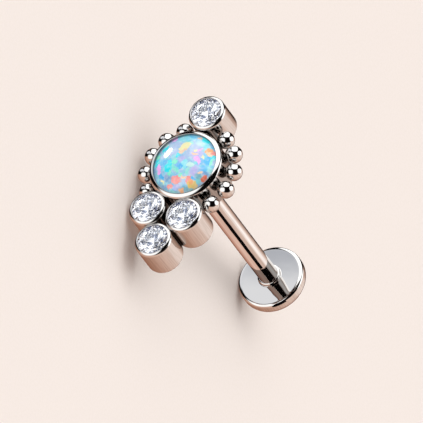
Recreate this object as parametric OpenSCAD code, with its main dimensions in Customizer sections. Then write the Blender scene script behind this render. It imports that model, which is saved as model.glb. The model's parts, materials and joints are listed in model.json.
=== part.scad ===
// Labret stud for a pierced lip or ear: a round opal in a plain bezel, ringed by ten beads, with one clear
// stone in its own cup above and three below, on a straight post with a flat disc. It lies on its side.

/* [Opal and bezel] */
// Diameter of the opal that shows inside the bezel
opal_d = 4; // [3.6:0.1:4.4]
// Height of the opal's dome above the bezel's rim
opal_rise = 0.34; // [0.2:0.02:0.6]
// Width of the bezel's rim, seen from the front
rim_w = 0.28; // [0.24:0.02:0.4]
// Tilt of the bezel's bevelled rim beside the opal, in degrees
bezel_tilt_in = 12; // [6:1:18]
// Tilt of the bezel's bevelled rim at its outer edge, in degrees
bezel_tilt_out = 58; // [45:1:62]
// Depth of the head, from its rims to its back
head_depth = 2.15; // [1.9:0.05:2.6]

/* [Gem cups] */
// Diameter of each clear stone
gem_d = 2; // [1.8:0.05:2.1]
// Outside diameter of each gem cup
cup_d = 2.3; // [2.24:0.02:2.4]
// How far each cup's rim laps over its stone
cup_lap = 0.05; // [0.03:0.01:0.08]
// Tilt of each cup's bevelled rim beside its stone, in degrees
cup_tilt_in = 16; // [8:1:22]
// Tilt of each cup's bevelled rim at its outer edge, in degrees
cup_tilt_out = 72; // [60:1:74]
// Distance between the centres of the side by side cups below the opal
pair_spread = 2.44; // [2.4:0.02:2.6]
// Gap between the top cup and the bezel, filled with solder
top_gap = 0.06; // [0.02:0.02:0.12]

/* [Beads] */
// Diameter of each bead
bead_d = 1.05; // [0.9:0.05:1.1]
// Beads along each side of the bezel
beads_a_side = 5; // [3:1:5]
// Angle of the first bead from the line through the top cup
bead_first = 30; // [30:0.5:33]
// Angle from one bead to the next
bead_step = 24.9; // [24:0.1:25.2]
// Depth of the beads' centres below the rims
bead_depth = 1.02; // [0.8:0.02:1.3]

/* [Post and disc] */
// Diameter of the post, which is 16 gauge
post_d = 1.2; // [1:0.1:1.3]
// Length of the post between the head and the disc
post_l = 11.7; // [6:0.1:14]
// Diameter of the disc
disc_d = 4.1; // [3.6:0.05:5]
// Thickness of the disc
disc_t = 1.15; // [0.8:0.05:1.3]
// Rise of the disc's front from its rounded edge to its middle
disc_crown = 0.08; // [0.04:0.01:0.1]
// Radius of the disc's rounded back edge
disc_round = 0.6; // [0.3:0.05:0.7]
// Width of the raised ring where the post meets the disc
ring_w = 0.13; // [0.1:0.01:0.2]

/* [Hidden] */
$fn = 64;

// The head's own frame has Z out of its face, Y towards the top cup and Z = 0 at the rims.
// Pieces that touch keep this gap, and soldered ones overlap by this much
gap = 0.02;
solder = 0.02;
steel = [0.80, 0.78, 0.76];
clear = [0.93, 0.95, 0.98];

// Opal and bezel
bezel_r = opal_d / 2 + rim_w;
opal_r = opal_d / 2 + 0.1;
lip_t = 0.14;
opal_edge = 0.27;
opal_seat = 1.2;
bezel_lip = 0.03;
back_round = 0.12;
arc_steps = 6;

// Gem cups
cup_r = cup_d / 2;
gem_r = gem_d / 2;
cup_window = gem_r - cup_lap;
cup_lip = 0.02;
cup_lip_t = 0.09;
girdle_z = -0.2;
ledge_z = -0.36;
ledge_w = 0.09;
cup_floor_r = 0.45;
cup_floor_z = -1.4;

// Where the cups' centres are
reach = bezel_r + cup_r - solder;
pair_y = -sqrt(reach * reach - pair_spread * pair_spread / 4);
bottom_drop = sqrt(pow(cup_d - solder, 2) - pair_spread * pair_spread / 4);
top_at = [0, bezel_r + cup_r + top_gap, 0];
left_at = [-pair_spread / 2, pair_y, 0];
right_at = [pair_spread / 2, pair_y, 0];
bottom_at = [0, pair_y - bottom_drop, 0];
cups_at = [top_at, left_at, right_at, bottom_at];

// Where the beads' centres are
bead_r = bead_d / 2;
bead_ring_r = bezel_r + bead_r - solder;
bead_neck_r = 0.22;
bead_angles = [for (side = [-1, 1], i = [0 : beads_a_side - 1]) 90 + side * (bead_first + i * bead_step)];
beads_at = [for (a = bead_angles) [bead_ring_r * cos(a), bead_ring_r * sin(a), -bead_depth]];

// The solder bridge between the bezel and the top cup, and how far it and the pin run into the metal
top_bridge_w = 0.9;
top_bridge_t = 1.3;
bite = 0.13;

// Post, disc and the hidden pin
post_r = post_d / 2;
disc_r = disc_d / 2;
disc_front = -head_depth - post_l;
disc_front_round = [0.26, 0.18];
ring_lift = 0.08;
pin_r = 0.35;
pin_l = 2.6;
pin_bore_r = pin_r + gap;
pin_bore_l = 3;

// Round brilliant, as fractions of the stone's diameter
table_f = 0.28;
girdle_f = 0.03;
crown_angle = 34.5;
pavilion_angle = 40.9;
star_f = 0.5;
lower_half_f = 0.78;
mains = 8;
half_step = 180 / mains;

// The stud lies on the disc's edge, a bead and a cup. Each foot is a ring: its centre, radius and round edge.
function ring_foot(c, r, z, round) = [[c.x, c.y, z], r - round, round];
bead_feet = [for (c = beads_at) [c, 0, bead_r]];
cup_feet = [for (c = cups_at, z = [-back_round, back_round - head_depth]) ring_foot(c, cup_r, z, back_round)];
disc_feet = [ring_foot([0, 0], disc_r, disc_front - disc_t + disc_round, disc_round)];

function foot_reach(foot, n) = foot[0] * n + foot[1] * norm([n.x, n.y]) + foot[2];
function feet_reach(feet, n) = max([for (f = feet) foot_reach(f, n)]);
function down(turn, lean) = [cos(lean) * cos(turn), cos(lean) * sin(turn), -sin(lean)];

// Halves the span from low to high until the lean brings the disc and the cups to one level
function lean_at(turn, low = 0, high = 20, steps = 30) =
    let (mid = (low + high) / 2, n = down(turn, mid))
    steps == 0 ? mid
    : feet_reach(disc_feet, n) < feet_reach(cup_feet, n) ? lean_at(turn, mid, high, steps - 1)
    : lean_at(turn, low, mid, steps - 1);

// Halves the span from low to high until the turn brings a bead and a cup to one level
function turn_at(low = 180, high = 225, steps = 30) =
    let (mid = (low + high) / 2, n = down(mid, lean_at(mid)))
    steps == 0 ? mid
    : feet_reach(bead_feet, n) > feet_reach(cup_feet, n) ? turn_at(mid, high, steps - 1)
    : turn_at(low, mid, steps - 1);

rest_turn = turn_at();
rest_lean = lean_at(rest_turn);
rest_down = down(rest_turn, rest_lean);
rest_side = [-sin(rest_turn), cos(rest_turn), 0];
rest_along = cross(rest_side, rest_down);
all_feet = concat(bead_feet, cup_feet, disc_feet, [[[0, 0, opal_rise], 0, 0]]);
function middle(n) = (feet_reach(all_feet, n) - feet_reach(all_feet, -n)) / 2;

// Lays the stud on its side on Z = 0, with its face towards -Y and the disc towards +Y
module at_rest() {
    translate([-middle(rest_side), -middle(rest_along), feet_reach(disc_feet, rest_down)])
        rotate([90 - rest_lean, 0, 0]) rotate([0, 0, -90 - rest_turn]) children();
}

// Points round a centre, on a circle, or on an ellipse where r lists both radii
function arc(centre, r, from, to) =
    let (rx = is_list(r) ? r[0] : r, ry = is_list(r) ? r[1] : r)
    [for (i = [0 : arc_steps]) let (a = from + (to - from) * i / arc_steps)
        centre + [rx * cos(a), ry * sin(a)]];

// Half outline of a cup's outside, with X as the radius and Y as the height. Its rim is a bevel that
// curves from one tilt to the other, with a narrow lip at the window.
function cup_outside(r, window, lip, tilts) =
    let (bevel_r = (r - window - lip) / (sin(tilts[1]) - sin(tilts[0])),
        middle = [window + lip, 0] - bevel_r * [sin(tilts[0]), cos(tilts[0])])
    concat(
        [[0, -head_depth]],
        arc([r - back_round, -head_depth + back_round], back_round, -90, 0),
        arc(middle, bevel_r, 90 - tilts[1], 90 - tilts[0]),
        [[window, -lip]]);

module bezel_cup() {
    tilts = [bezel_tilt_in, bezel_tilt_out];
    rotate_extrude() polygon(concat(cup_outside(bezel_r, opal_d / 2, bezel_lip, tilts), [
        [opal_d / 2, -lip_t],
        [opal_r + gap, -opal_edge + gap],
        [opal_r + gap, -opal_seat],
        [0, -opal_seat]]));
}

module gem_cup() {
    tilts = [cup_tilt_in, cup_tilt_out];
    rotate_extrude() polygon(concat(cup_outside(cup_r, cup_window, cup_lip, tilts), [
        [cup_window, -cup_lip_t],
        [gem_r + gap, girdle_z + gap],
        [gem_r + gap, ledge_z],
        [gem_r + gap - ledge_w, ledge_z],
        [cup_floor_r, cup_floor_z],
        [0, cup_floor_z]]));
}

// A bead with the short neck of solder that joins it to the bezel's wall
module bead(at) {
    translate(at) sphere(bead_r);
    translate(at) rotate([0, 0, atan2(at.y, at.x)]) rotate([0, -90, 0])
        cylinder(r = bead_neck_r, h = bead_r + solder);
}

module setting() {
    color(steel) at_rest() union() {
        bezel_cup();
        for (c = cups_at) translate(c) gem_cup();
        for (b = beads_at) bead(b);
        translate([-top_bridge_w / 2, bezel_r - bite, -head_depth + back_round])
            cube([top_bridge_w, top_gap + 2 * bite, top_bridge_t]);
        translate([0, 0, -head_depth - pin_l]) cylinder(r = pin_r, h = pin_l + bite);
    }
}

module opal_cabochon() {
    dome_rise = opal_rise + opal_edge;
    dome_r = (opal_r * opal_r + dome_rise * dome_rise) / (2 * dome_rise);
    color([0.72, 0.88, 0.94]) at_rest() intersection() {
        translate([0, 0, -opal_seat + gap]) cylinder(r = opal_r, h = opal_seat + 1);
        translate([0, 0, opal_rise - dome_r]) sphere(dome_r);
    }
}

// Round brilliant with its table up and its girdle's upper edge at girdle_z. Rings of corners go down
// from the table to the culet, and those of the stars and the lower halves lie half a step round.
function corners(count, r, z, turn = 0) =
    [for (i = [0 : count - 1]) [r * cos(turn + i * 360 / count), r * sin(turn + i * 360 / count), z]];

module brilliant() {
    crown = tan(crown_angle);
    pavilion = tan(pavilion_angle);
    low_z = girdle_z - girdle_f * gem_d;
    table_r = table_f * gem_d;
    star_r = (1 - star_f) * table_r * cos(half_step) + star_f * gem_r;
    lower_r = gem_r * (1 - lower_half_f);
    points = concat(
        corners(mains, table_r, girdle_z + (gem_r - table_r) * crown),
        corners(mains, star_r, girdle_z + (gem_r - star_r * cos(half_step)) * crown, half_step),
        corners(2 * mains, gem_r, girdle_z),
        corners(2 * mains, gem_r, low_z),
        corners(mains, lower_r, low_z - (gem_r - lower_r * cos(half_step)) * pavilion, half_step),
        [[0, 0, low_z - gem_r * pavilion]]);
    star = mains;
    upper = 2 * mains;
    under = 4 * mains;
    lower = 6 * mains;
    culet = 7 * mains;
    faces = concat(
        [[for (i = [mains - 1 : -1 : 0]) i]],
        [for (i = [0 : mains - 1]) let (next = (i + 1) % mains, last = (i + mains - 1) % mains,
            g = 2 * i, after = (g + 2) % (2 * mains)) each [
            [i, next, star + i],
            [i, star + i, upper + g, star + last],
            [upper + g, star + i, upper + g + 1],
            [upper + g + 1, star + i, upper + after],
            [upper + g, upper + g + 1, under + g + 1, under + g],
            [upper + g + 1, upper + after, under + after, under + g + 1],
            [under + g, under + g + 1, lower + i],
            [under + g + 1, under + after, lower + i],
            [under + g, lower + i, culet, lower + last]]]);
    polyhedron(points, faces);
}

module gem(at) {
    color(clear) at_rest() translate(at) brilliant();
}

module gem_top() gem(top_at);
module gem_left() gem(left_at);
module gem_right() gem(right_at);
module gem_bottom() gem(bottom_at);

// Half outline of the post, the ring at its foot and the disc
module labret_post() {
    face_r = disc_r - disc_front_round.x;
    crown_r = (face_r * face_r + disc_crown * disc_crown) / (2 * disc_crown);
    face_from = 90 - asin((post_r + ring_w) / crown_r);
    face_to = 90 - asin(face_r / crown_r);
    outline = concat(
        [[0, -head_depth - gap], [post_r, -head_depth - gap]],
        arc([post_r, disc_front + ring_lift], ring_w, 90, -asin(ring_lift / ring_w)),
        arc([0, disc_front - crown_r], crown_r, face_from, face_to),
        arc([face_r, disc_front - disc_crown - disc_front_round.y], disc_front_round, 80, 0),
        arc([disc_r - disc_round, disc_front - disc_t + disc_round], disc_round, 0, -90),
        [[0, disc_front - disc_t]]);
    color(steel) at_rest() difference() {
        rotate_extrude() polygon(outline);
        translate([0, 0, -head_depth - pin_bore_l]) cylinder(r = pin_bore_r, h = pin_bore_l + 1);
    }
}

setting();
opal_cabochon();
gem_top();
gem_left();
gem_right();
gem_bottom();
labret_post();
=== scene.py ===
"""The looks of a labret stud that lies on its side on a pale floor."""

import json
import math

import bpy
from mathutils import Matrix, Vector


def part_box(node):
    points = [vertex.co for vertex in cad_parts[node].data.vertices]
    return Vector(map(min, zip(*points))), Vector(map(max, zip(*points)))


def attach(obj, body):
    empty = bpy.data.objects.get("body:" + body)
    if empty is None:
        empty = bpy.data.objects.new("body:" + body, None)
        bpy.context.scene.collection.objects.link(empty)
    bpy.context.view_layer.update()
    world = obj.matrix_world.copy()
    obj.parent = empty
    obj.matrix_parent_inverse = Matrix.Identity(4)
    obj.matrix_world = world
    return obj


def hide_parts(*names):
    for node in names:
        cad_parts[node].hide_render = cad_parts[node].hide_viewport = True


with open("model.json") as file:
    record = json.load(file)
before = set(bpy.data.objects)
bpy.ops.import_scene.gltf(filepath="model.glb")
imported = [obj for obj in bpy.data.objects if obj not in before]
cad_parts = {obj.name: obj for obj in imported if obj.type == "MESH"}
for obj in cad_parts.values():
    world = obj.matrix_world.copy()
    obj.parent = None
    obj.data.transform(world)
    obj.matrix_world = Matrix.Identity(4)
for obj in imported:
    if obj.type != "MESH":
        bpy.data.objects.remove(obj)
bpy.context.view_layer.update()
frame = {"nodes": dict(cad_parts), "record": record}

MM = 0.001

# Sizes in millimetres, in the head's own frame: Z out of the face, Y towards the top cup, and
# Z = 0 at the rims. Angles are in degrees.
HEAD_DEPTH = 2.15
POST_LENGTH = 11.7
BACK_ROUND = 0.12
GAP = 0.02

# The rims' bevels: their tilt beside the lip and at the outer edge
BEZEL_TILTS = (12.0, 58.0)
CUP_TILTS = (16.0, 72.0)
RIM_EDGE = 0.03

OPAL_WINDOW = 1.98
BEZEL_R = 2.28
BEZEL_LIP = 0.03
BEZEL_STEP_Z = -0.14
OPAL_R = 2.1
OPAL_EDGE = 0.27
OPAL_SEAT = 1.2
OPAL_RISE = 0.34

CUP_R = 1.15
CUP_WINDOW = 0.95
CUP_LIP = 0.02
CUP_STEP_Z = -0.09
GEM_R = 1.0
GIRDLE_Z = -0.2
CUP_LEDGE_Z = -0.36
CUP_LEDGE_W = 0.09
CUP_FLOOR_R = 0.45
CUP_FLOOR_Z = -1.4

BEAD_R = 0.525
BEAD_DEPTH = 1.02
BEAD_RING_R = 2.785
BEAD_FILLET = 0.03
BEAD_FIRST = 30.0
BEAD_STEP = 24.9
BEADS_A_SIDE = 5
NECK_OVERLAP = 0.08

# Solder seams: the radius of their hollow sides, and their heights
SEAM_HOLLOW = 0.025
SEAM_TOP_Z = -0.3
TOP_SEAM_HOLLOW = 0.14
TOP_SEAM_HEIGHT = 1.3

POST_R = 0.6
PIN_R = 0.35
PIN_LENGTH = 2.6
PIN_BORE = 3.0
DISC_R = 2.05
DISC_T = 1.15
DISC_FRONT = -HEAD_DEPTH - POST_LENGTH
DISC_FRONT_ROUND = (0.26, 0.18)
DISC_CROWN = 0.08
DISC_BACK_ROUND = 0.6
FOOT_RING_W = 0.13
FOOT_RING_LIFT = 0.08

# How finely the shapes are divided: sides round the axis, and steps of a seam's hollow side
BEZEL_SIDES = 160
CUP_SIDES = 96
OPAL_SIDES = 128
NECK_SIDES = 32
POST_SIDES = 160
SEAM_STEPS = 8
# Rings this close to the ends of a straight stretch keep it flat under smooth shading
HOLD = 0.012
# Points closer to the axis than this lie on it
ON_AXIS = 1e-6
SHARP_ANGLE = 40.0

# The photograph's view: the camera's axes in the head's frame, the opal's place in the picture
# and the scale
CAMERA_RIGHT = Vector((0.862, 0.366, -0.3652))
CAMERA_UP = Vector((-0.167, 0.859, 0.4778))
PICTURE = 423
PIXELS_A_MM = 17.1
OPAL_PIXEL = (184.2, 163.5)
LENS = 1400.0
SENSOR = 36.0

# Half the floor's side, in metres
FLOOR_HALF = 1.5
# Light turns back and forth many times in the stones
BOUNCES = 64

GEMS = ("gem_top", "gem_left", "gem_right", "gem_bottom")


# The head's frame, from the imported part

def mount(name):
    """A mount of the part's record."""
    return next(m for m in frame["record"]["mounts"] if m["name"] == name)


def node_middle(name):
    """The middle of a CAD node's box, in the part's frame."""
    low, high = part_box(name)
    return (Vector(low) + Vector(high)) / 2


def head_matrix():
    """Carries millimetres in the head's frame to metres in the part's frame."""
    disc_back = mount("disc_back")
    out = -Vector(disc_back["axis"]).normalized()
    along = node_middle("gem_top") - node_middle("gem_bottom")
    up = (along - out * along.dot(out)).normalized()
    across = up.cross(out)
    origin = Vector(disc_back["pos_m"]) + out * (HEAD_DEPTH + POST_LENGTH + DISC_T) * MM
    turn = Matrix((across, up, out)).transposed()
    return Matrix.Translation(origin) @ turn.to_4x4() @ Matrix.Scale(MM, 4)


HEAD = head_matrix()
HEAD_TURN = HEAD.to_quaternion().to_matrix()


def middle_in_head(name):
    """X and Y of a CAD node's middle, in the head's frame."""
    inverse = HEAD.inverted()
    points = [inverse @ v.co for v in frame["nodes"][name].data.vertices]
    return tuple((min(p[i] for p in points) + max(p[i] for p in points)) / 2 for i in (0, 1))


# Shapes

def arc(x, y, radii, start, end, steps=12):
    """Points on an ellipse round (x, y), from one angle to another."""
    angles = [math.radians(start + (end - start) * i / steps) for i in range(steps + 1)]
    return [(x + radii[0] * math.cos(a), y + radii[1] * math.sin(a)) for a in angles]


def with_holding_rings(profile):
    """Adds a point close to each end of every long straight stretch of an outline."""
    out = [profile[0]]
    for a, b in zip(profile, profile[1:]):
        length = math.dist(a, b)
        if length > 6 * HOLD:
            for f in (HOLD / length, 1 - HOLD / length):
                out.append((a[0] + (b[0] - a[0]) * f, a[1] + (b[1] - a[1]) * f))
        out.append(b)
    return out


def lathe(profile, segments):
    """Vertices and faces of an outline of (radius, height) turned round Z, whose ends lie on Z."""
    rings = with_holding_rings(profile)
    on_axis = [r < ON_AXIS for r, _ in rings]
    vertices = []
    faces = []
    starts = []
    for (r, z), pole in zip(rings, on_axis):
        starts.append(len(vertices))
        for i in range(1 if pole else segments):
            a = 2 * math.pi * i / segments
            vertices.append((r * math.cos(a), r * math.sin(a), z))
    for k in range(len(rings) - 1):
        here, there = starts[k], starts[k + 1]
        for i in range(segments):
            j = (i + 1) % segments
            if on_axis[k]:
                faces.append((here, there + j, there + i))
            elif on_axis[k + 1]:
                faces.append((here + i, here + j, there))
            else:
                faces.append((here + i, here + j, there + j, there + i))
    return vertices, faces


def ball(radius, rings=24, segments=48):
    """Vertices and faces of a ball."""
    profile = arc(0, 0, (radius, radius), -90, 90, rings)
    profile[0] = (0, -radius)
    profile[-1] = (0, radius)
    return lathe(profile, segments)


def join(parts):
    """One list of vertices and faces from several, each with the matrix that places it."""
    vertices = []
    faces = []
    for (part_vertices, part_faces), place in parts:
        start = len(vertices)
        vertices += [tuple(place @ Vector(v)) for v in part_vertices]
        faces += [tuple(start + i for i in face) for face in part_faces]
    return vertices, faces


def at(x, y, z=0.0):
    """The matrix that moves a shape to this place in the head's frame."""
    return Matrix.Translation((x, y, z))


def piece(name, shape, material, nodes):
    """A piece of the stud from vertices and faces in the head's frame."""
    vertices, faces = shape
    mesh = bpy.data.meshes.new(name)
    mesh.from_pydata([HEAD @ Vector(v) for v in vertices], [], faces)
    mesh.validate()
    mesh.shade_smooth()
    mesh.set_sharp_from_angle(angle=math.radians(SHARP_ANGLE))
    mesh.materials.append(material)
    obj = bpy.data.objects.new(name, mesh)
    bpy.context.scene.collection.objects.link(obj)
    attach(obj, "root")
    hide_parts(*nodes)
    return obj


# Node helpers

class Tree:
    """Adds nodes to a material's or world's tree and links them."""

    def __init__(self, tree):
        self.tree = tree
        tree.nodes.clear()

    def node(self, kind, inputs=None, **settings):
        """A new node with its settings and with values or links on its inputs."""
        n = self.tree.nodes.new(kind)
        for key, value in settings.items():
            setattr(n, key, value)
        for key, value in (inputs or {}).items():
            self.put(n.inputs[key], value)
        return n

    def put(self, socket, value):
        """Links a socket to another node's output, or sets it to a constant."""
        if isinstance(value, bpy.types.NodeSocket):
            self.tree.links.new(value, socket)
        else:
            socket.default_value = value

    def math(self, operation, *values):
        n = self.node("ShaderNodeMath", operation=operation)
        for socket, value in zip(n.inputs, values):
            self.put(socket, value)
        return n.outputs[0]

    def vector(self, operation, *values):
        n = self.node("ShaderNodeVectorMath", operation=operation)
        for socket, value in zip(n.inputs, values):
            self.put(socket, value)
        single = operation in ("DOT_PRODUCT", "LENGTH", "DISTANCE")
        return n.outputs["Value" if single else "Vector"]

    def smooth(self, value, low, high, to_low=0.0, to_high=1.0):
        """Carries a value smoothly from one range to another, and holds it at the ends."""
        n = self.node("ShaderNodeMapRange", interpolation_type="SMOOTHSTEP", inputs={
            "Value": value, "From Min": low, "From Max": high,
            "To Min": to_low, "To Max": to_high})
        return n.outputs["Result"]

    def mix(self, factor, a, b, blend="MIX"):
        """Mixes two colours."""
        n = self.node("ShaderNodeMix", data_type="RGBA", blend_type=blend)
        for socket, value in zip((n.inputs[0], n.inputs[6], n.inputs[7]), (factor, a, b)):
            self.put(socket, value)
        return n.outputs[2]

    def noise(self, vector, scale, detail=2.0, roughness=0.5):
        """Soft clouds."""
        return self.node("ShaderNodeTexNoise", inputs={
            "Vector": vector, "Scale": scale, "Detail": detail, "Roughness": roughness})

    def cells(self, vector, scale):
        """Small cells, each with a random colour."""
        return self.node("ShaderNodeTexVoronoi", inputs={"Vector": vector, "Scale": scale})

    def channels(self, colour):
        """A colour's red, green and blue."""
        return self.node("ShaderNodeSeparateColor", inputs={0: colour}).outputs

    def height(self, place):
        """The third of a place's coordinates."""
        return self.node("ShaderNodeSeparateXYZ", inputs={0: place}).outputs[2]

    def reach(self, place):
        """Distance from the head's axis."""
        return self.vector("LENGTH", self.vector("MULTIPLY", place, (1, 1, 0)))

    def bump(self, height, depth, strength=1.0, **inputs):
        """Relief of this depth in millimetres."""
        return self.node("ShaderNodeBump", inputs={
            "Strength": strength, "Distance": depth * MM, "Height": height, **inputs}).outputs[0]

    def head_coordinates(self, stretch=(1, 1, 1)):
        """Millimetres in the head's frame, each axis times its stretch."""
        inverse = HEAD.inverted()
        place = self.node("ShaderNodeMapping", inputs={
            "Vector": self.node("ShaderNodeTexCoord").outputs["Object"],
            "Location": inverse.translation,
            "Rotation": inverse.to_euler(),
            "Scale": (1 / MM,) * 3})
        return self.vector("MULTIPLY", place.outputs[0], stretch)

    def output(self, surface, kind="ShaderNodeOutputMaterial"):
        """Ends the tree with this surface."""
        self.node(kind, inputs={"Surface": surface})


def material(name):
    """A new material and its emptied tree."""
    made = bpy.data.materials.new(name)
    made.use_nodes = True
    return made, Tree(made.node_tree)


def rgb(*values):
    """A colour given as 0 to 255 in sRGB, as the shader wants it."""
    linear = [((v / 255 + 0.055) / 1.055) ** 2.4 if v > 10 else v / 255 / 12.92 for v in values]
    return (*linear, 1.0)


# Materials

STEEL = rgb(199, 194, 191)
# Dark brown painted shade for the hollows between the parts
RECESS_SHADE = rgb(44, 33, 27)
STEEL_TINTS = (rgb(208, 203, 200), rgb(190, 184, 180))
MID_GREY = (0.5, 0.5, 0.5, 1)
PURE_WHITE = (1, 1, 1, 1)

# The marks' scale along the post's axis over that across it, and the wave's scale and depth
MARKS_STRETCH = 0.03
WAVE_SCALE = 1.1
WAVE_DEPTH = 0.008
# What the painted shade adds to the roughness, and the heights between which a soft rim begins
RECESS_SHADE_ROUGHNESS = 0.12
SOFT_RIM = (-0.24, -0.12)

# Where shade is painted on the steel, in millimetres: the mask's two ends and, where it isn't full,
# its values there
BEAD_SHADE = (2.48, 2.34, 0, 0.85)
BEAD_DEEP = (-1.25, -1.5)
LIP_SHADE = (OPAL_WINDOW + 0.04, OPAL_WINDOW + 0.01, 0, 0.6)
WALL_DEEP = (-0.18, -0.5)
WALL_SHADE = 0.45
BACK_FADE = (-HEAD_DEPTH + 0.02, -HEAD_DEPTH + 0.2)
SEAM_SHADE = (0.55, 0.25)
SEAM_DEEP = (-0.12, -0.3)


def below(high, low):
    """Mask of painted shade on what lies deep between the parts, by its height in the head's frame.
    """
    return lambda t, place: t.smooth(t.height(place), high, low)


def near_bezel(t, place):
    """Mask of painted shade on the beads' sides that face the bezel, and on their backs."""
    facing = t.smooth(t.reach(place), *BEAD_SHADE)
    return t.math("MAXIMUM", facing, below(*BEAD_DEEP)(t, place))


def near_opal(t, place):
    """Mask of painted shade on the bezel's lip beside the opal and on its wall, but not on its rim
    or back.
    """
    lip = t.smooth(t.reach(place), *LIP_SHADE)
    wall = t.math("MULTIPLY", below(*WALL_DEEP)(t, place), WALL_SHADE)
    return t.math("MULTIPLY", t.math("MAXIMUM", lip, wall), below(*BACK_FADE)(t, place))


def near_seams(t, place):
    """Mask of painted shade on the cups' walls near the lines where they meet each other and the
    bezel.
    """
    flat = t.vector("MULTIPLY", place, (1, 1, 0))
    top, left, right, bottom = (Vector((*middle_in_head(gem), 0)) for gem in GEMS)
    lines = [cup.normalized() * BEZEL_R for cup in (top, left, right)]
    lines += [(left + right) / 2, (left + bottom) / 2, (right + bottom) / 2]
    nearest = t.vector("DISTANCE", flat, lines[0])
    for line in lines[1:]:
        nearest = t.math("MINIMUM", nearest, t.vector("DISTANCE", flat, line))
    return t.math("MULTIPLY", t.smooth(nearest, *SEAM_SHADE), below(*SEAM_DEEP)(t, place))


def steel(name, streaks, depth, roughness, recess=None, soft_rim=0.0):
    """Polished steel with fine marks along the post's axis and a faint wave from the polishing.

    The marks have a scale, a depth in millimetres, and a lowest and highest roughness, and fade
    on faces across the axis. The mask recess shows where dark brown shade is painted on the steel,
    which is also rougher there, and a soft rim adds to the roughness near the front.
    """
    made, t = material(name)
    place = t.head_coordinates()
    stretched = t.vector("MULTIPLY", place, (streaks, streaks, streaks * MARKS_STRETCH))
    marks = t.noise(stretched, 1.0, detail=3.0, roughness=0.65).outputs["Fac"]
    axis = (HEAD_TURN @ Vector((0, 0, 1))).normalized()
    normal = t.node("ShaderNodeNewGeometry").outputs["True Normal"]
    facing = t.math("ABSOLUTE", t.vector("DOT_PRODUCT", normal, axis))
    marks = t.mix(t.smooth(facing, 0.2, 0.8), marks, MID_GREY)
    wave = t.noise(place, WAVE_SCALE, detail=1.0).outputs["Fac"]
    relief = t.bump(wave, WAVE_DEPTH, Normal=t.bump(marks, depth))
    tint = t.mix(t.smooth(marks, 0.35, 0.75), *STEEL_TINTS)
    rough = t.smooth(marks, 0.3, 0.7, *roughness)
    # Painted shade: the steel turns dark brown where the recess mask is full
    if recess:
        deep = recess(t, place)
        tint = t.mix(deep, tint, RECESS_SHADE)
        rough = t.math("ADD", rough, t.math("MULTIPLY", deep, RECESS_SHADE_ROUGHNESS))
    if soft_rim:
        rough = t.math("ADD", rough, t.smooth(t.height(place), *SOFT_RIM, 0, soft_rim))
    shader = t.node("ShaderNodeBsdfPrincipled", inputs={
        "Base Color": tint, "Metallic": 1.0, "Normal": relief, "Roughness": rough})
    t.output(shader.outputs[0])
    return made


# The stones' index, for the photograph's strong sparkle, and their haze's highest roughness
STONE_INDEX = 2.4
STONE_HAZE = 0.012


def clear_stone():
    """Clear stone with faint blue and warm tints painted in patches as its fire, and a faint haze.
    """
    made, t = material("clear_stone")
    place = t.head_coordinates()
    pick = t.channels(t.cells(place, 9.0).outputs["Color"])
    # Painted fire: faint blue and warm tints, changing from cell to cell
    tint = t.mix(t.smooth(pick[0], 0.70, 0.74), PURE_WHITE, rgb(226, 233, 246))
    tint = t.mix(t.smooth(pick[1], 0.92, 0.94), tint, rgb(250, 236, 222))
    haze = t.noise(place, 3.0, detail=2.0).outputs["Fac"]
    shader = t.node("ShaderNodeBsdfPrincipled", inputs={
        "Base Color": tint, "Roughness": t.smooth(haze, 0.45, 0.8, 0.0, STONE_HAZE),
        "IOR": STONE_INDEX, "Transmission Weight": 1.0})
    t.output(shader.outputs[0])
    return made


PALE_BLUE = rgb(140, 196, 236)
HAZE = rgb(196, 212, 246)
LILAC = rgb(204, 184, 244)
CYAN = rgb(50, 236, 250)
AQUA = rgb(140, 236, 250)
SKY = rgb(80, 190, 250)
DUSK = rgb(116, 154, 200)
MINT = rgb(140, 250, 216)
FROST = rgb(206, 248, 244)
TEAL = rgb(116, 180, 184)
PINK = rgb(250, 178, 250)
CORAL = rgb(255, 152, 146)
PEACH = rgb(255, 214, 178)
ORANGE = rgb(250, 172, 104)
YELLOW = rgb(250, 246, 188)
GOLD = rgb(242, 204, 96)
EMBER = rgb(238, 118, 82)

# Soft clouds in the opal, then crisp flakes of fire over them, in the order in which they are
# laid: middle, half lengths, turn in degrees, colour
CLOUDS = [
    (0.30, 0.85, 0.55, 0.75, 0, HAZE),
    (-0.85, 0.95, 0.50, 0.45, 20, HAZE),
    (-0.60, 1.60, 0.55, 0.30, 15, AQUA),
    (-0.20, 1.86, 0.36, 0.16, -5, SKY),
    (0.55, 1.45, 0.36, 0.20, -10, FROST),
    (-1.25, -0.30, 0.30, 0.30, 0, SKY),
    (-1.70, -0.95, 0.20, 0.40, 25, DUSK),
    (-0.50, -1.22, 0.34, 0.24, -20, DUSK),
    (-0.15, -0.30, 0.30, 0.26, 20, SKY),
    (-0.05, 0.10, 0.22, 0.22, 0, LILAC),
    (-0.30, -0.55, 0.44, 0.16, -30, MINT),
    (-0.18, 1.30, 0.30, 0.16, 0, MINT),
    (0.90, -0.46, 0.26, 0.36, 0, LILAC),
    (0.68, 0.62, 0.38, 0.44, 0, LILAC),
    (0.30, -1.10, 0.40, 0.30, 0, HAZE),
    (0.20, -1.60, 0.30, 0.24, 0, LILAC),
    (1.28, -0.66, 0.24, 0.20, 0, TEAL),
    (0.72, -1.60, 0.60, 0.22, 22, TEAL),
    (-0.62, -1.76, 0.52, 0.18, -20, DUSK),
    (0.10, -1.90, 0.34, 0.10, 0, TEAL),
    (1.44, -0.14, 0.20, 0.24, 0, SKY),
    (1.60, -0.42, 0.18, 0.18, 0, DUSK),
    (1.00, 1.30, 0.30, 0.20, -45, AQUA),
]
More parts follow.
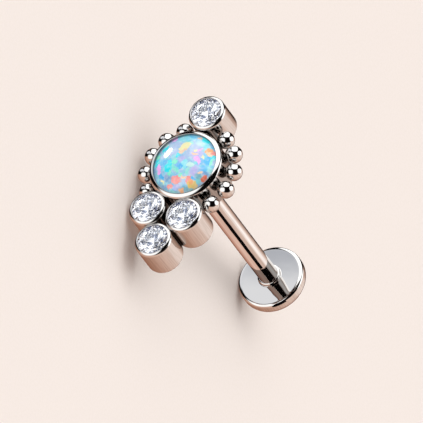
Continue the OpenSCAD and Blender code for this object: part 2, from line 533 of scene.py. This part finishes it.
FIRE = [
    (0.66, 1.76, 0.34, 0.15, -32, CYAN),
    (0.26, 1.78, 0.16, 0.07, 0, PEACH),
    (-1.30, 1.42, 0.17, 0.12, 30, PINK),
    (-1.62, 0.76, 0.17, 0.30, -20, CYAN),
    (-1.64, 1.02, 0.12, 0.11, 0, FROST),
    (-1.86, 0.08, 0.12, 0.18, 0, MINT),
    (-1.78, -0.26, 0.16, 0.26, 15, CYAN),
    (0.22, -0.16, 0.20, 0.34, 10, AQUA),
    (0.02, -0.34, 0.15, 0.15, 0, SKY),
    (-0.46, 0.32, 0.13, 0.14, 0, CYAN),
    (-0.48, -0.14, 0.19, 0.17, 0, MINT),
    (0.60, -0.12, 0.24, 0.16, 0, FROST),
    (1.44, 0.42, 0.22, 0.30, 0, SKY),
    (1.64, 0.44, 0.08, 0.32, 12, MINT),
    (1.60, 0.76, 0.14, 0.12, 0, CYAN),
    (-0.26, 1.10, 0.28, 0.28, 20, YELLOW),
    (-0.42, 0.86, 0.22, 0.15, 30, YELLOW),
    (-0.34, 0.58, 0.17, 0.16, 30, PEACH),
    (-0.14, 0.78, 0.13, 0.10, 0, PEACH),
    (0.72, 1.02, 0.20, 0.07, 60, PINK),
    (0.52, 0.86, 0.10, 0.08, 0, YELLOW),
    (0.54, 0.62, 0.24, 0.08, 5, PEACH),
    (0.82, 0.32, 0.23, 0.13, -20, PINK),
    (1.04, 0.18, 0.12, 0.11, 0, PINK),
    (1.12, 0.56, 0.06, 0.14, 40, YELLOW),
    (1.28, 1.02, 0.28, 0.24, -15, ORANGE),
    (1.34, 0.90, 0.22, 0.11, -20, PEACH),
    (1.52, 0.98, 0.15, 0.15, -30, CORAL),
    (-0.80, -0.36, 0.19, 0.40, 5, CYAN),
    (-0.78, -0.56, 0.32, 0.24, -30, CYAN),
    (-0.58, -0.88, 0.10, 0.16, 0, MINT),
    (-1.42, -0.70, 0.15, 0.42, 24, PINK),
    (-1.06, -1.16, 0.30, 0.10, -30, SKY),
    (-0.92, -1.38, 0.20, 0.08, -35, YELLOW),
    (-0.02, -1.18, 0.33, 0.25, 0, CORAL),
    (-0.30, -1.60, 0.22, 0.15, 10, CORAL),
    (0.20, -0.86, 0.16, 0.13, 0, MINT),
    (0.44, -0.96, 0.18, 0.07, 10, PEACH),
    (0.80, -1.04, 0.18, 0.28, 10, CORAL),
    (1.06, -1.22, 0.32, 0.24, 15, GOLD),
    (0.96, -1.06, 0.15, 0.15, 0, ORANGE),
    (1.02, -0.86, 0.13, 0.11, 0, SKY),
    (0.50, -1.70, 0.21, 0.13, -10, ORANGE),
    (1.32, -0.40, 0.14, 0.07, 35, PEACH),
    (1.62, -0.72, 0.14, 0.25, -20, EMBER),
]


# How far the patches' edges sway, in millimetres, and how far those of the flakes are drawn to
# the middles of small cells
SWAY = (0.24, 0.24, 0)
CELL_SHARE = 0.75
# A patch's edge lies at 1: where it begins, where it is full, and its share there
CLOUD_EDGE = (1.35, 0.5, 0, 0.7)
FIRE_EDGE = (1.1, 0.9, 0, 0.95)
# Colours that some larger cells add to the ground: where each begins and is full on a random
# scale from 0 to 1, its share and colour
GROUND_CELLS = [(0.45, 0.75, 0.5, AQUA), (0.55, 0.85, 0.5, SKY), (0.65, 0.95, 0.45, MINT)]
# The opal's two painted shades, darker towards one side and beside the bezel: where each begins and
# ends, in millimetres, and the light that is left at either end
LEE = (0.68, -0.73, 0)
LEE_SHADE = (1.2, 2.0, 1.0, 0.62)
EDGE_SHADE = (1.93, 1.98, 1.0, 0.6)
# The painted glow that the opal gives itself, and its colour's share in what it reflects
OPAL_GLOW = 0.54
OPAL_BASE = (0.55, 0.55, 0.55, 1)


def opal():
    """Milky stone with soft clouds and, over them, crisp flakes with edges from small cells."""
    made, t = material("opal")
    p = t.head_coordinates((1, 1, 0))
    sway = t.noise(p, 3.2, detail=4.0, roughness=0.6).outputs["Color"]
    sway = t.vector("MULTIPLY", t.vector("SUBTRACT", sway, (0.5, 0.5, 0.5)), SWAY)
    swayed = t.vector("ADD", p, sway)
    crisp = t.node("ShaderNodeMix", data_type="VECTOR", inputs={
        0: CELL_SHARE, 4: swayed, 5: t.cells(swayed, 10.0).outputs["Position"]}).outputs[1]

    broad = t.noise(p, 0.8, detail=2.0).outputs["Fac"]
    colour = t.mix(t.smooth(broad, 0.42, 0.66), PALE_BLUE, HAZE)
    ground = t.node("ShaderNodeTexVoronoi", feature="SMOOTH_F1", inputs={
        "Vector": swayed, "Scale": 3.4, "Smoothness": 0.25})
    for channel, cell in zip(t.channels(ground.outputs["Color"]), GROUND_CELLS):
        begins, full, share, tint = cell
        colour = t.mix(t.smooth(channel, begins, full, 0, share), colour, tint)
    for patches, where, edge in ((CLOUDS, swayed, CLOUD_EDGE), (FIRE, crisp, FIRE_EDGE)):
        for x, y, a, b, turn, tint in patches:
            local = t.node("ShaderNodeMapping", vector_type="TEXTURE", inputs={
                "Vector": where, "Location": (x, y, 0),
                "Rotation": (0, 0, math.radians(turn)), "Scale": (a, b, 1)})
            inside = t.smooth(t.vector("LENGTH", local.outputs[0]), *edge)
            colour = t.mix(inside, colour, tint)
    milk = t.noise(p, 5.0, detail=3.0).outputs["Fac"]
    colour = t.mix(t.smooth(milk, 0.4, 0.75, 0, 0.22), colour, PURE_WHITE, blend="SCREEN")
    # Painted shade: darker towards the LEE side and beside the bezel
    shade = t.smooth(t.vector("DOT_PRODUCT", p, LEE), *LEE_SHADE)
    shade = t.math("MULTIPLY", shade, t.smooth(t.vector("LENGTH", p), *EDGE_SHADE))
    shade = t.node("ShaderNodeCombineColor", inputs={0: shade, 1: shade, 2: shade}).outputs[0]
    colour = t.mix(1.0, colour, shade, blend="MULTIPLY")
    shader = t.node("ShaderNodeBsdfPrincipled", inputs={
        "Base Color": t.mix(1.0, colour, OPAL_BASE, blend="MULTIPLY"),
        "Specular IOR Level": 0.0,
        "Roughness": t.smooth(milk, 0.3, 0.7, 0.25, 0.4),
        "Normal": t.bump(milk, 0.002, strength=0.3),
        "Coat Weight": 1.0,
        "Coat Roughness": 0.0,
        # The emission paints a glow in the opal's own colours, so it is bright whatever light falls
        # on it
        "Emission Color": colour,
        "Emission Strength": OPAL_GLOW})
    t.output(shader.outputs[0])
    return made


def floor_material():
    """A pale, matt ground with a very fine grain."""
    made, t = material("floor")
    place = t.node("ShaderNodeTexCoord").outputs["Object"]
    grain = t.noise(place, 6000.0, detail=2.0).outputs["Fac"]
    tint = t.mix(t.smooth(grain, 0.3, 0.7), rgb(239, 228, 221), rgb(241, 230, 224))
    shader = t.node("ShaderNodeBsdfPrincipled", inputs={
        "Base Color": tint, "Roughness": 0.6, "Specular IOR Level": 0.2,
        "Normal": t.bump(grain, 0.005, strength=0.2)})
    t.output(shader.outputs[0])
    return made


def seat_steel():
    """The inside of a gem cup, painted in bright, blue-grey and dark patches as the stones'
    sparkle; it shows only through the stone.
    """
    made, t = material("seat_steel")
    pick = t.channels(t.cells(t.head_coordinates(), 4.0).outputs["Color"])
    # Painted sparkle: bright, blue-grey and near-black patches that the stones show as reflections
    # in their facets
    tint = t.mix(t.smooth(pick[0], 0.66, 0.70), rgb(252, 252, 254), rgb(120, 134, 168))
    tint = t.mix(t.smooth(pick[1], 0.86, 0.90), tint, rgb(34, 38, 52))
    shader = t.node("ShaderNodeBsdfPrincipled", inputs={
        "Base Color": tint, "Metallic": 1.0,
        "Roughness": t.smooth(pick[2], 0.2, 0.8, 0.05, 0.14)})
    t.output(shader.outputs[0])
    return made


# Pieces

def cup_outside(r, window, lip, tilts):
    """Half outline of a cup's outside, from the axis at its back, over its rim, to its window.

    The rim is an arc: it tilts by the first angle beside the lip and by the second at its edge.
    """
    start, end = (math.radians(a) for a in tilts)
    bevel = r - window - lip * (1 + math.sin(start)) - RIM_EDGE * (1 - math.sin(end))
    bevel_r = bevel / (math.sin(end) - math.sin(start))
    x = window + lip - (bevel_r - lip) * math.sin(start)
    y = -lip - (bevel_r - lip) * math.cos(start)
    edge = (x + (bevel_r - RIM_EDGE) * math.sin(end), y + (bevel_r - RIM_EDGE) * math.cos(end))
    return [
        (0, -HEAD_DEPTH),
        *arc(r - BACK_ROUND, -HEAD_DEPTH + BACK_ROUND, (BACK_ROUND,) * 2, -90, 0),
        *arc(*edge, (RIM_EDGE,) * 2, 0, 90 - tilts[1], steps=6),
        *arc(x, y, (bevel_r,) * 2, 90 - tilts[1], 90 - tilts[0], steps=16)[1:],
        *arc(window + lip, -lip, (lip,) * 2, 90 - tilts[0], 180, steps=8)[1:],
    ]


def bezel_cup():
    """The opal's cup, open to the front, with the pin on its back."""
    pin_end = -HEAD_DEPTH - PIN_LENGTH
    return lathe([
        (0, pin_end),
        (PIN_R, pin_end),
        (PIN_R, -HEAD_DEPTH),
        *cup_outside(BEZEL_R, OPAL_WINDOW, BEZEL_LIP, BEZEL_TILTS)[1:],
        (OPAL_WINDOW, BEZEL_STEP_Z),
        (OPAL_R + GAP, -OPAL_EDGE + GAP),
        (OPAL_R + GAP, -OPAL_SEAT),
        (0, -OPAL_SEAT),
    ], BEZEL_SIDES)


def gem_cup():
    """A stone's cup, open to the front, with a ledge for the stone."""
    return lathe([
        *cup_outside(CUP_R, CUP_WINDOW, CUP_LIP, CUP_TILTS),
        (CUP_WINDOW, CUP_STEP_Z),
        (GEM_R + GAP, GIRDLE_Z + GAP),
        (GEM_R + GAP, CUP_LEDGE_Z),
        (GEM_R + GAP - CUP_LEDGE_W, CUP_LEDGE_Z),
        (CUP_FLOOR_R, CUP_FLOOR_Z),
        (0, CUP_FLOOR_Z),
    ], CUP_SIDES)


def opal_dome():
    """The opal, a low dome over an upright wall."""
    rise = OPAL_RISE + OPAL_EDGE
    dome_r = (OPAL_R ** 2 + rise ** 2) / (2 * rise)
    edge = math.degrees(math.asin(OPAL_R / dome_r))
    dome = arc(0, OPAL_RISE - dome_r, (dome_r, dome_r), 90 - edge, 90, steps=32)
    dome[-1] = (0, OPAL_RISE)
    return lathe([(0, GAP - OPAL_SEAT), (OPAL_R, GAP - OPAL_SEAT), *dome], OPAL_SIDES)


def beads_at(side):
    """X and Y of the beads on one side of the bezel, -1 for the left and 1 for the right one."""
    turns = [math.radians(BEAD_FIRST + i * BEAD_STEP) for i in range(BEADS_A_SIDE)]
    return [(side * BEAD_RING_R * math.sin(a), BEAD_RING_R * math.cos(a)) for a in turns]


def bead_neck():
    """The solder from a bead's middle to the bezel's wall, along Z, with a hollow side."""
    wall = BEAD_RING_R - BEZEL_R
    z = wall - BEAD_FILLET
    r = math.sqrt((BEAD_R + BEAD_FILLET) ** 2 - z ** 2)
    turn = math.degrees(math.atan2(r, z))
    hollow = [(y, x) for x, y in arc(z, r, (BEAD_FILLET,) * 2, turn - 180, 0, steps=10)]
    end = wall + NECK_OVERLAP
    return lathe([(0, BEAD_R / 2), *hollow, (r, end), (0, end)], NECK_SIDES)


def beads(side):
    """The beads on one side of the bezel with their necks."""
    shapes = []
    for x, y in beads_at(side):
        place = at(x, y, -BEAD_DEPTH)
        shapes.append((ball(BEAD_R), place))
        inward = Vector((-x, -y, 0)).normalized()
        turn = Vector((0, 0, 1)).rotation_difference(inward)
        shapes.append((bead_neck(), place @ turn.to_matrix().to_4x4()))
    return join(shapes)


def seam(a, b, radius_a, radius_b, hollow, bottom, top):
    """The solder between two upright round walls: a bar with a hollow side on either hand."""
    a, b = Vector(a), Vector(b)
    along = (b - a).normalized()
    across = Vector((-along.y, along.x))
    gap = (b - a).length
    ra, rb = radius_a + hollow, radius_b + hollow
    foot = (ra * ra - rb * rb + gap * gap) / (2 * gap)
    off = math.sqrt(ra * ra - foot * foot)
    outline = []
    for side in (1, -1):
        middle = a + along * foot + across * off * side
        ends = [(wall - middle).normalized() for wall in (a, b)]
        turn = ends[0].angle_signed(ends[1])
        points = []
        for i in range(SEAM_STEPS + 1):
            step = ends[0].copy()
            step.rotate(Matrix.Rotation(-turn * i / SEAM_STEPS, 2))
            points.append(middle + step * hollow)
        outline += points if side == 1 else points[::-1]
    count = len(outline)
    vertices = [(*p, z) for z in (bottom, top) for p in outline]
    faces = [(i, (i + 1) % count, count + (i + 1) % count, count + i) for i in range(count)]
    faces += [tuple(range(count))[::-1], tuple(range(count, 2 * count))]
    return vertices, faces


def seams(cups):
    """The solder between the cups and the bezel, and between the lower cups."""
    low = -HEAD_DEPTH + BACK_ROUND
    bezel = (0, 0)
    lower = (cups["cup_left"], cups["cup_right"])
    shapes = [seam(bezel, cups["cup_top"], BEZEL_R, CUP_R, TOP_SEAM_HOLLOW,
                   low, low + TOP_SEAM_HEIGHT)]
    shapes += [seam(bezel, cup, BEZEL_R, CUP_R, SEAM_HOLLOW, low, SEAM_TOP_Z) for cup in lower]
    shapes += [seam(cups["cup_bottom"], cup, CUP_R, CUP_R, SEAM_HOLLOW, low, SEAM_TOP_Z)
               for cup in lower]
    return join([(shape, at(0, 0)) for shape in shapes])


def post_and_disc():
    """The post with the ring at its foot, and the disc with its low crown and rounded edges."""
    flat_r = DISC_R - DISC_FRONT_ROUND[0]
    crown_r = flat_r ** 2 / (2 * DISC_CROWN)
    edge = math.degrees(math.asin(flat_r / crown_r))
    foot = math.degrees(math.asin((POST_R + FOOT_RING_W) / crown_r))
    ring_end = -math.degrees(math.asin(FOOT_RING_LIFT / FOOT_RING_W))
    front_z = DISC_FRONT - DISC_CROWN - DISC_FRONT_ROUND[1]
    back_z = DISC_FRONT - DISC_T
    return lathe([
        (0, -HEAD_DEPTH - PIN_BORE),
        (PIN_R + GAP, -HEAD_DEPTH - PIN_BORE),
        (PIN_R + GAP, -HEAD_DEPTH - GAP),
        (POST_R, -HEAD_DEPTH - GAP),
        *arc(POST_R, DISC_FRONT + FOOT_RING_LIFT, (FOOT_RING_W,) * 2, 90, ring_end, steps=16),
        *arc(0, DISC_FRONT - crown_r, (crown_r, crown_r), 90 - foot, 90 - edge, steps=24),
        # The crown ends where this arc would begin at 90 degrees
        *arc(flat_r, front_z, DISC_FRONT_ROUND, 86, 0, steps=16),
        *arc(DISC_R - DISC_BACK_ROUND, back_z + DISC_BACK_ROUND, (DISC_BACK_ROUND,) * 2, 0, -90,
             steps=24),
        (0, back_z),
    ][::-1], POST_SIDES)


def show_seat(cup, x, y, seat):
    """Gives the inside of a cup below its stone's girdle the seat's steel."""
    cup.data.materials.append(seat)
    middle = HEAD @ Vector((x, y, 0))
    inside_r = GEM_R + GAP + 0.001
    lowest = -HEAD_DEPTH + 0.1
    for face in cup.data.polygons:
        place = HEAD_TURN.transposed() @ (face.center - middle) / MM
        if math.hypot(place.x, place.y) < inside_r and GIRDLE_Z > place.z > lowest:
            face.material_index = 1


def make_stud():
    """The stud's pieces over the CAD's, and the new material on the CAD's own stones."""
    cup_steel = steel("cup_steel", 16.0, 0.003, (0.02, 0.06), near_seams, 0.1)
    bezel_steel = steel("bezel_steel", 12.0, 0.001, (0.02, 0.06), near_opal, 0.04)
    # The seams are painted dark brown all over, as shade between the parts
    seam_steel = steel("seam_steel", 12.0, 0.002, (0.1, 0.2), below(0.1, 0.0))
    bead_steel = steel("bead_steel", 6.0, 0.0005, (0.01, 0.03), near_bezel)
    post_steel = steel("post_steel", 12.0, 0.0006, (0.02, 0.05))
    cups = {gem.replace("gem", "cup"): middle_in_head(gem) for gem in GEMS}
    piece("opal_bezel", bezel_cup(), bezel_steel, ["setting"])
    seat = seat_steel()
    for name, (x, y) in cups.items():
        cup = piece(name, join([(gem_cup(), at(x, y))]), cup_steel, ["setting"])
        show_seat(cup, x, y, seat)
    for name, side in (("beads_left", -1), ("beads_right", 1)):
        piece(name, beads(side), bead_steel, ["setting"])
    piece("solder_seams", seams(cups), seam_steel, ["setting"])
    piece("post_and_disc", post_and_disc(), post_steel, ["labret_post"])
    piece("opal_stone", opal_dome(), opal(), ["opal_cabochon"])
    stone = clear_stone()
    for gem in GEMS:
        mesh = frame["nodes"][gem].data
        mesh.materials.clear()
        mesh.materials.append(stone)


# Scene

def camera_axes():
    """The camera's right, up and back, in the part's frame."""
    right = (HEAD_TURN @ CAMERA_RIGHT).normalized()
    up = HEAD_TURN @ CAMERA_UP
    up = (up - right * up.dot(right)).normalized()
    return right, up, right.cross(up)


def make_camera():
    """A camera far away with the photograph's view and scale."""
    right, up, back = camera_axes()
    distance = PICTURE / PIXELS_A_MM * LENS / SENSOR
    across = (PICTURE / 2 - OPAL_PIXEL[0]) / PIXELS_A_MM
    down = (PICTURE / 2 - OPAL_PIXEL[1]) / PIXELS_A_MM
    data = bpy.data.cameras.new("camera")
    data.lens = LENS
    data.sensor_width = SENSOR
    data.clip_start = 0.01
    data.clip_end = 10.0
    camera = bpy.data.objects.new("camera", data)
    place = HEAD.translation + (right * across - up * down + back * distance) * MM
    turn = Matrix((right, up, back)).transposed()
    camera.matrix_world = Matrix.Translation(place) @ turn.to_4x4()
    bpy.context.scene.collection.objects.link(camera)
    bpy.context.scene.camera = camera


def make_floor():
    """The pale ground, which shows neither in the steel nor through the stones."""
    corners = [(x * FLOOR_HALF, y * FLOOR_HALF, 0) for x, y in ((-1, -1), (1, -1), (1, 1), (-1, 1))]
    mesh = bpy.data.meshes.new("floor")
    mesh.from_pydata(corners, [], [(0, 1, 2, 3)])
    mesh.materials.append(floor_material())
    floor = bpy.data.objects.new("floor", mesh)
    floor.visible_glossy = False
    floor.visible_transmission = False
    bpy.context.scene.collection.objects.link(floor)


def shown(*values, strength=1.0):
    """The light that polished steel gives back as this colour."""
    return (*(strength * c / metal for c, metal in zip(rgb(*values)[:3], STEEL)), 1.0)


BLACK = shown(10, 8, 7)
WHITE = shown(255, 254, 252, strength=1.2)
# Lights and dark cards of the studio, in the order in which they are laid. Each is placed where
# a polished ball shows it in the picture's view: middle, half lengths and turn in degrees on a
# ball of radius 1. Then come the softness of its edge and the light that it gives.
STUDIO = [
    (0.82, -0.22, 0.15, 0.25, 0, 1.0, shown(218, 198, 187)),
    (0.10, 0.42, 0.52, 0.74, 0, 0.18, BLACK),
    (-0.74, 0.47, 0.36, 0.43, 0, 0.15, BLACK),
    (0.70, 0.62, 0.34, 0.15, -45, 0.15, BLACK),
    (0.09, 0.62, 0.34, 0.275, 0, 0.2, WHITE),
    (-0.56, 0.51, 0.21, 0.12, 25, 0.6, shown(212, 212, 215)),
    (-0.37, 0.02, 0.25, 0.235, 0, 0.6, shown(255, 254, 252)),
    (0.63, 0.16, 0.20, 0.24, 8, 0.25, WHITE),
]
# The card that the disc's face reflects: its place, its light from below upwards, and the
# heights on the ball between which the light changes
FACE_CARD = (-0.355, 0.46, 0.13, 0.085, 40, 0.5)
FACE_LIGHT = (shown(214, 214, 216), shown(172, 174, 180))
FACE_FADE = (0.43, 0.55)
# What only the glass-smooth opal and stones reflect
HIGHLIGHT = (-0.572, 0.598, 0.082, 0.027, 51, 0.9, shown(255, 254, 252, strength=16.0))
# A card's outline lies between an ellipse, at 2, and a rectangle
CARD_OUTLINE = 3.0

# The room about the cards, each colour on the lower left and on the upper right: beside the
# camera, on the far side, and the skirt at the very edge of the ball
NEAR_WALL = (shown(192, 151, 130), shown(226, 204, 191))
FAR_WALL = (shown(134, 92, 73), shown(160, 126, 109))
SKIRT = (shown(118, 74, 56), shown(46, 31, 24))

# The camera's backdrop, and the soft light on matt surfaces: colour, strength of its ground and
# of its key, and the key's narrowness
BACKDROP = rgb(240, 229, 222)
SOFT_COLOUR = (1.0, 0.99, 0.98, 1.0)
SOFT_GROUND = 0.36
SOFT_KEY = 2.0
SOFT_POWER = 3.0

# What the light in the stones comes from: a pale ground, then shards of other colours, for each
# where it begins and is full on a random scale from 0 to 1
SPARKLE_GROUND = (1.6, 1.6, 1.62, 1)
SHARDS = [
    (0.64, 0.66, rgb(54, 76, 126)),
    (0.79, 0.81, rgb(8, 10, 16)),
    (0.95, 0.97, rgb(214, 170, 138)),
]

# Three curved cards beside the post, which its steel mirrors: their distance from its surface,
# the heights of their two ends, and the height below which a surface shows them directly
CARD_REACH = 3.85
CARD_SPAN = (3.0, DISC_FRONT + 1.7)
CARD_TOP = -8.0
# The share of their light that is left in second reflections
CARD_DIM = (0.55, 0.62, 0.66, 1)
CARD_STEPS = 16
# For each card, the least and the greatest distance in millimetres at which a surface shows it
# directly, then its colours, each with the place where the post shows it, from -1 at the post's
# left edge to 1 at its right one
POST_CARDS = {
    "dark_card": (2.3, 30.0, [(-0.35, BLACK), (-0.04, BLACK)]),
    "left_card": (6.1, 6.8, [
        (-0.94, shown(140, 92, 72)),
        (-0.75, shown(200, 156, 138)),
        (-0.60, shown(214, 178, 161)),
        (-0.36, shown(208, 169, 151)),
    ]),
    "right_card": (6.1, 6.8, [
        (0.28, shown(222, 200, 188)),
        (0.48, shown(250, 239, 233)),
        (0.60, shown(240, 226, 217)),
        (0.70, shown(214, 190, 178)),
        (0.78, shown(190, 160, 146)),
    ]),
}


def make_post_card(name, nearest, farthest, stops):
    """A card beside the post that only shiny surfaces see, along the rays that the post mirrors."""
    back = HEAD_TURN.transposed() @ camera_axes()[2]
    side = Vector((0, 0, 1)).cross(back).normalized()
    front = side.cross(Vector((0, 0, 1)))
    width = POST_R + CARD_REACH

    def image(s):
        """The point of the card that the post shows at s."""
        normal = side * s + front * math.sqrt(1 - s * s)
        ray = normal * (2 * normal.dot(back)) - back
        return normal * POST_R + ray * (CARD_REACH / math.hypot(ray.x, ray.y))

    first, last = stops[0][0], stops[-1][0]
    points = [image(first + (last - first) * i / CARD_STEPS) for i in range(CARD_STEPS + 1)]
    corners = [HEAD @ (p + Vector((0, 0, z))) for z in CARD_SPAN for p in points]
    count = len(points)
    mesh = bpy.data.meshes.new(name)
    mesh.from_pydata(corners, [], [
        (i, i + 1, count + i + 1, count + i) for i in range(CARD_STEPS)])

    made, t = material(name)
    place = t.head_coordinates()
    across = t.vector("DOT_PRODUCT", place, front / width)
    ramp = t.node("ShaderNodeValToRGB", inputs={0: t.math("MULTIPLY_ADD", across, 0.5, 0.5)})
    colours = sorted((image(s).dot(front) / width * 0.5 + 0.5, light) for s, light in stops)
    elements = ramp.color_ramp.elements
    elements[0].position, elements[1].position = colours[0][0], colours[-1][0]
    for position, _ in colours[1:-1]:
        elements.new(position)
    for element, (_, light) in zip(elements, colours):
        element.color = light

    path = t.node("ShaderNodeLightPath")
    direct = t.math("LESS_THAN", path.outputs["Ray Depth"], 1.5)
    share = t.mix(direct, CARD_DIM, PURE_WHITE)
    glow = t.node("ShaderNodeEmission", inputs={
        "Color": t.mix(1.0, ramp.outputs[0], share, blend="MULTIPLY"), "Strength": 1.0})
    middle, spread = (farthest + nearest) / 2, (farthest - nearest) / 2
    low = t.math("LESS_THAN", t.vector("DOT_PRODUCT", place, (0, 0, 1)), CARD_TOP)
    near = t.math("COMPARE", path.outputs["Ray Length"], middle * MM, spread * MM)
    hidden = t.math("MULTIPLY", direct, t.math("SUBTRACT", 1.0, t.math("MULTIPLY", low, near)))
    t.output(t.node("ShaderNodeMixShader", inputs={
        0: hidden, 1: glow.outputs[0],
        2: t.node("ShaderNodeBsdfTransparent").outputs[0]}).outputs[0])
    mesh.materials.append(made)

    card = bpy.data.objects.new(name, mesh)
    card.visible_camera = card.visible_diffuse = False
    card.visible_transmission = card.visible_shadow = False
    bpy.context.scene.collection.objects.link(card)


def on_ball(t, half, card, right, up):
    """Mask of one card of the studio."""
    u0, v0, half_u, half_v, turn, edge = card[:6]
    c, s = math.cos(math.radians(turn)), math.sin(math.radians(turn))
    powers = []
    for axis, size in ((right * c + up * s, half_u), (up * c - right * s, half_v)):
        middle = (right * u0 + up * v0).dot(axis)
        offset = t.math("SUBTRACT", t.vector("DOT_PRODUCT", half, axis), middle)
        place = t.math("ABSOLUTE", t.math("DIVIDE", offset, size))
        powers.append(t.math("POWER", place, CARD_OUTLINE))
    return t.smooth(t.math("ADD", *powers), 1 + edge, 1 - edge)


def make_world():
    """A studio laid out about the picture's view, for what polished surfaces reflect.

    The camera sees a plain pale backdrop, matt surfaces a soft light, and rays that pass through
    the stones a sparkle of shards.
    """
    right, up, back = camera_axes()
    world = bpy.data.worlds.new("studio")
    bpy.context.scene.world = world
    world.use_nodes = True
    world.cycles.sampling_method = "NONE"
    t = Tree(world.node_tree)
    path = t.node("ShaderNodeLightPath")
    direction = t.node("ShaderNodeTexCoord").outputs["Generated"]

    def light(colour, strength=1.0):
        return t.node("ShaderNodeBackground", inputs={
            "Color": colour, "Strength": strength}).outputs[0]

    half = t.vector("NORMALIZE", t.vector("ADD", direction, back))
    slant = t.smooth(t.vector("DOT_PRODUCT", half, right * 0.8 + up * 0.6), -0.9, 0.7)
    rim = t.vector("DOT_PRODUCT", half, back)
    room = t.mix(t.smooth(rim, 0.85, 0.1), t.mix(slant, *NEAR_WALL), t.mix(slant, *FAR_WALL))
    for card in STUDIO:
        room = t.mix(on_ball(t, half, card, right, up), room, card[6])
    fade = t.mix(t.smooth(t.vector("DOT_PRODUCT", half, up), *FACE_FADE), *FACE_LIGHT)
    room = t.mix(on_ball(t, half, FACE_CARD, right, up), room, fade)
    skirt = t.math("SUBTRACT", rim, t.math("MULTIPLY", slant, 0.11))
    room = t.mix(t.smooth(skirt, 0.27, 0.03), room, t.mix(slant, *SKIRT))
    glint = on_ball(t, half, HIGHLIGHT, right, up)
    glint = t.math("MULTIPLY", path.outputs["Is Singular Ray"], glint)
    room = t.mix(glint, room, HIGHLIGHT[6])

    key = (right * 0.75 + up * 0.55 + back * 0.35).normalized()
    towards = t.math("MAXIMUM", t.vector("DOT_PRODUCT", direction, key), 0.0)
    soft = t.math("MULTIPLY", t.math("POWER", towards, SOFT_POWER), SOFT_KEY)
    soft = t.math("ADD", soft, SOFT_GROUND)

    sparkle = SPARKLE_GROUND
    shards = t.channels(t.cells(direction, 8.0).outputs["Color"])
    for channel, (begins, full, tint) in zip(shards, SHARDS):
        sparkle = t.mix(t.smooth(channel, begins, full), sparkle, tint)

    surface = light(room)
    for kind, seen in (
            ("Is Transmission Ray", light(sparkle)),
            ("Is Diffuse Ray", light(SOFT_COLOUR, soft)),
            ("Is Camera Ray", light(BACKDROP))):
        surface = t.node("ShaderNodeMixShader", inputs={
            0: path.outputs[kind], 1: surface, 2: seen}).outputs[0]
    t.output(surface, "ShaderNodeOutputWorld")


make_camera()
make_stud()
make_floor()
for card_name, (card_nearest, card_farthest, card_stops) in POST_CARDS.items():
    make_post_card(card_name, card_nearest, card_farthest, card_stops)
make_world()
scene = bpy.context.scene
scene.view_settings.view_transform = "Standard"
scene.cycles.max_bounces = BOUNCES
scene.cycles.transmission_bounces = BOUNCES
scene.cycles.glossy_bounces = BOUNCES
